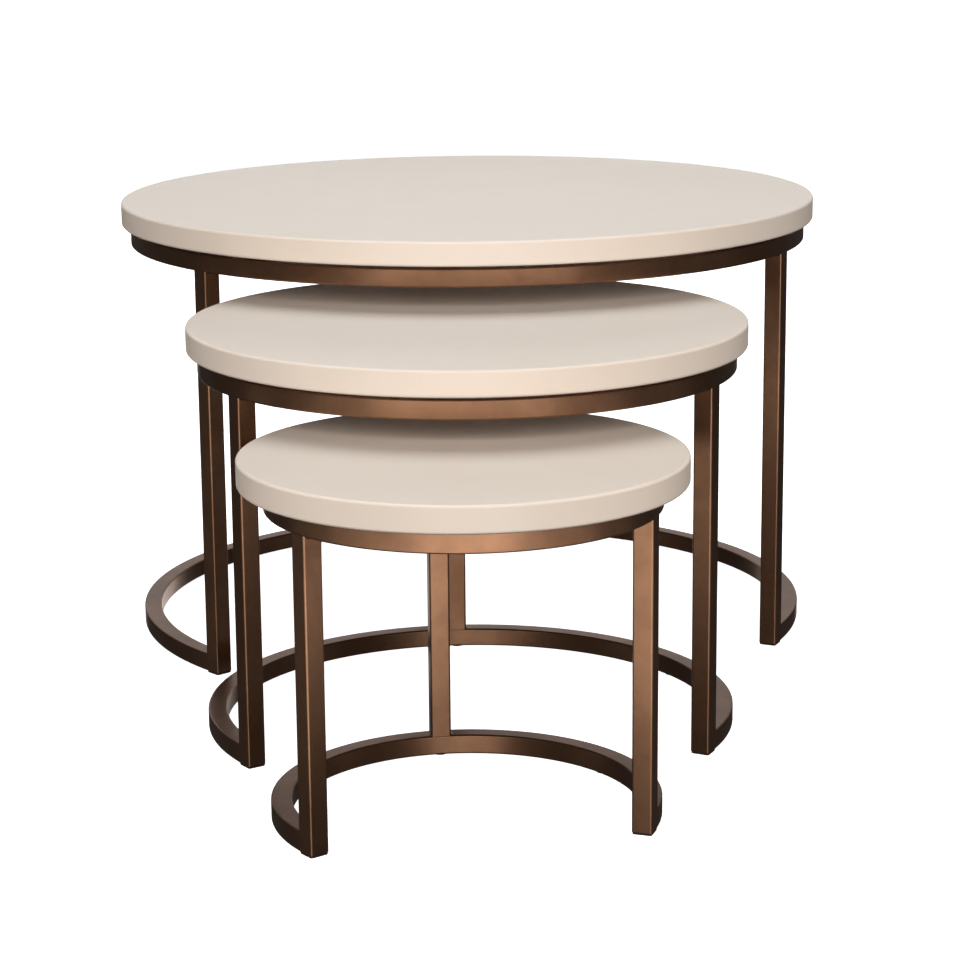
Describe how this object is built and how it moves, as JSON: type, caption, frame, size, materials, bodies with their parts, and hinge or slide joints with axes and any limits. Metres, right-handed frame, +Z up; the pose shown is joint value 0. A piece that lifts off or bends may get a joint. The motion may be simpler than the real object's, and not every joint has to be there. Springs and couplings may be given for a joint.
{
  "type": "nesting tables",
  "caption": "Set of round side tables on square-tube frames, which nest one under another.",
  "frame": {"origin": "on the floor, in the middle of the set's footprint", "axes": "+Z up, the open fronts of the tables towards -Y, +X to a viewer's right"},
  "size_m": [0.8, 1.3227, 0.5],
  "materials": {
    "lacquer": "cream satin lacquer on a board core",
    "bronze": "satin bronze metallic coating on steel tube",
    "screw_zinc": "zinc plated",
    "black_plastic": "matt moulded plastic"
  },
  "bodies": {
    "large": {"large_top": "lacquer", "large_ring": "bronze", "large_leg_left": "bronze", "large_leg_right": "bronze", "large_leg_back": "bronze", "large_base_arc": "bronze", "large_tabs": "bronze", "large_screws": "screw_zinc", "large_foot_plugs": "black_plastic", "large_glides": "black_plastic"},
    "medium": {"medium_top": "lacquer", "medium_ring": "bronze", "medium_leg_left": "bronze", "medium_leg_right": "bronze", "medium_leg_back": "bronze", "medium_base_arc": "bronze", "medium_tabs": "bronze", "medium_screws": "screw_zinc", "medium_foot_plugs": "black_plastic", "medium_glides": "black_plastic"},
    "small": {"small_top": "lacquer", "small_ring": "bronze", "small_leg_left": "bronze", "small_leg_right": "bronze", "small_leg_back": "bronze", "small_base_arc": "bronze", "small_tabs": "bronze", "small_screws": "screw_zinc", "small_foot_plugs": "black_plastic", "small_glides": "black_plastic"}
  },
  "joints": [
    {"name": "medium_slide", "type": "slide", "parent": "large", "child": "medium", "axis": [-0.1495, -0.9888, 0], "range_m": [-0.45, 0.28]},
    {"name": "small_slide", "type": "slide", "parent": "medium", "child": "small", "axis": [-0.0785, -0.9969, 0], "range_m": [-0.31, 0.22]}
  ]
}
